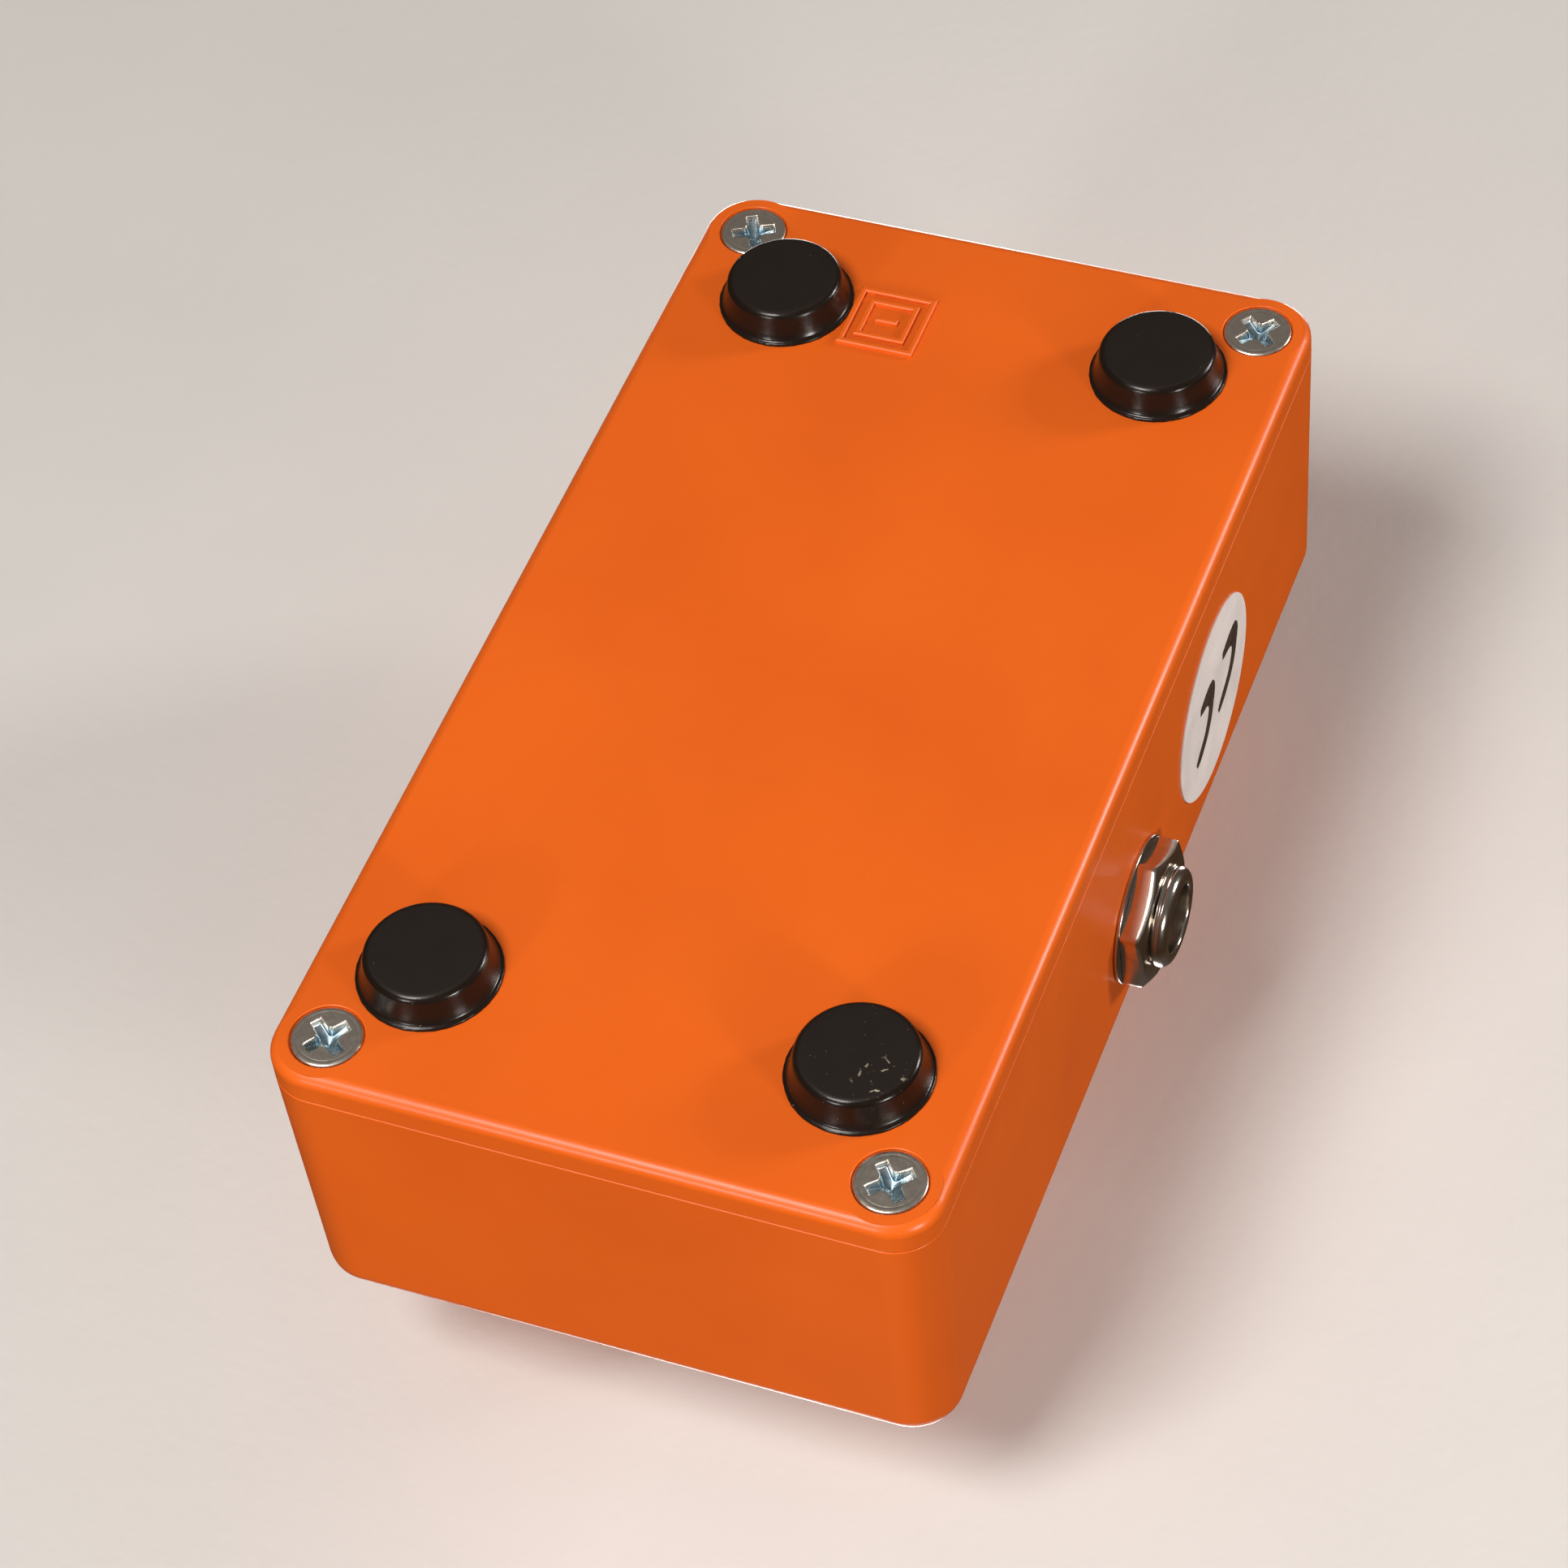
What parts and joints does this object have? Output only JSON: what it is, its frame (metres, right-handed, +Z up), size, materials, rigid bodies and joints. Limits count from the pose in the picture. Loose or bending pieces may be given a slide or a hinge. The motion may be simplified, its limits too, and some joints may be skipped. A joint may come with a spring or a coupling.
{
  "type": "guitar effects pedal",
  "caption": "Small die-cast guitar effects pedal with a stomp switch, rate knob, status lamp, side jacks, power socket, screwed base plate and rubber feet.",
  "frame": {"origin": "middle of the footprint, level with the standing faces of the rubber feet", "axes": "+Z up through the top of the box, +Y towards the head end with the knob, -Y towards the footswitch end, +X towards the side with the input jack and the round label"},
  "size_m": [0.068, 0.1112, 0.0522],
  "materials": {
    "box_paint": "satin orange powder coat",
    "screw_zinc": "bright zinc plate",
    "foot_rubber": "matte standing face, smoother sides",
    "label_white": "satin white vinyl",
    "nickel": "nickel plate",
    "black_plastic": "fine moulded",
    "spring_brass": "tinned brass",
    "pot_steel": "plated steel",
    "wafer_brown": "phenolic board",
    "shaft_metal": "turned",
    "knob_black": "moulded, satin gloss",
    "line_white": "filled white line",
    "grub_black": "black oxide",
    "nylon": "natural nylon",
    "switch_blue": "moulded case",
    "lamp_red": "diffused red lens",
    "bezel_chrome": "polished",
    "board_green": "solder mask",
    "foam_grey": "closed-cell foam",
    "chip_black": "moulded epoxy",
    "can_blue": "sleeved aluminium cans",
    "film_red": "dipped film",
    "resistor_tan": "lacquered",
    "trimmer_blue": "moulded",
    "battery_skin": "lacquered steel jacket"
  },
  "bodies": {
    "pedal": {"enclosure_body": "box_paint", "base_plate": "box_paint", "base_screws": "screw_zinc", "rubber_foot_head_left": "foot_rubber", "rubber_foot_head_right": "foot_rubber", "rubber_foot_foot_right": "foot_rubber", "rubber_foot_foot_left": "foot_rubber", "side_label": "label_white", "power_socket_housing": "black_plastic", "power_socket_pin": "nickel", "power_socket_spring": "spring_brass", "pot_can": "pot_steel", "pot_bushing": "nickel", "pot_wafer": "wafer_brown", "pot_washer": "nickel", "pot_nut": "nickel", "switch_bushing": "nickel", "switch_case": "switch_blue", "switch_lock_washer": "pot_steel", "switch_lower_nut": "nickel", "switch_trim_washer": "nylon", "switch_upper_nut": "nickel", "switch_clips": "pot_steel", "switch_lugs": "spring_brass", "switch_spring": "pot_steel", "lamp_lens": "lamp_red", "lamp_bezel": "bezel_chrome", "lamp_leads": "pot_steel", "circuit_board": "board_green", "board_pad": "foam_grey", "chips": "chip_black", "electrolytic_capacitors": "can_blue", "film_capacitors": "film_red", "resistors": "resistor_tan", "transistors": "chip_black", "trimmer_body": "trimmer_blue", "battery_case": "battery_skin", "battery_terminals": "nickel", "battery_snap": "black_plastic", "battery_foam": "foam_grey", "input_jack_bushing": "nickel", "input_jack_washer": "nickel", "input_jack_nut": "nickel", "input_jack_housing": "black_plastic", "input_jack_contacts": "spring_brass", "output_jack_bushing": "nickel", "output_jack_washer": "nickel", "output_jack_nut": "nickel", "output_jack_housing": "black_plastic", "output_jack_contacts": "spring_brass"},
    "rate_knob_and_shaft": {"rate_knob": "knob_black", "knob_line": "line_white", "knob_set_screw": "grub_black", "pot_shaft": "shaft_metal"},
    "switch_plunger_body": {"switch_plunger": "nickel"},
    "trimmer_rotor_body": {"trimmer_rotor": "nylon"}
  },
  "joints": [
    {"name": "rate_knob_turn", "type": "hinge", "parent": "pedal", "child": "rate_knob_and_shaft", "pos_m": [0, 0.03, 0.0345], "axis": [0, 0, 1], "range_deg": [-150, 150]},
    {"name": "footswitch_press", "type": "slide", "parent": "pedal", "child": "switch_plunger_body", "axis": [0, 0, -1], "range_m": [0, 0.0035], "stiffness_N_per_m": 2500, "springref_m": -0.004, "deforming": ["switch_spring"]},
    {"name": "bias_trimmer_turn", "type": "hinge", "parent": "pedal", "child": "trimmer_rotor_body", "pos_m": [0.001, 0.045, 0.0108], "axis": [0, 0, -1], "range_deg": [-130, 130]}
  ]
}
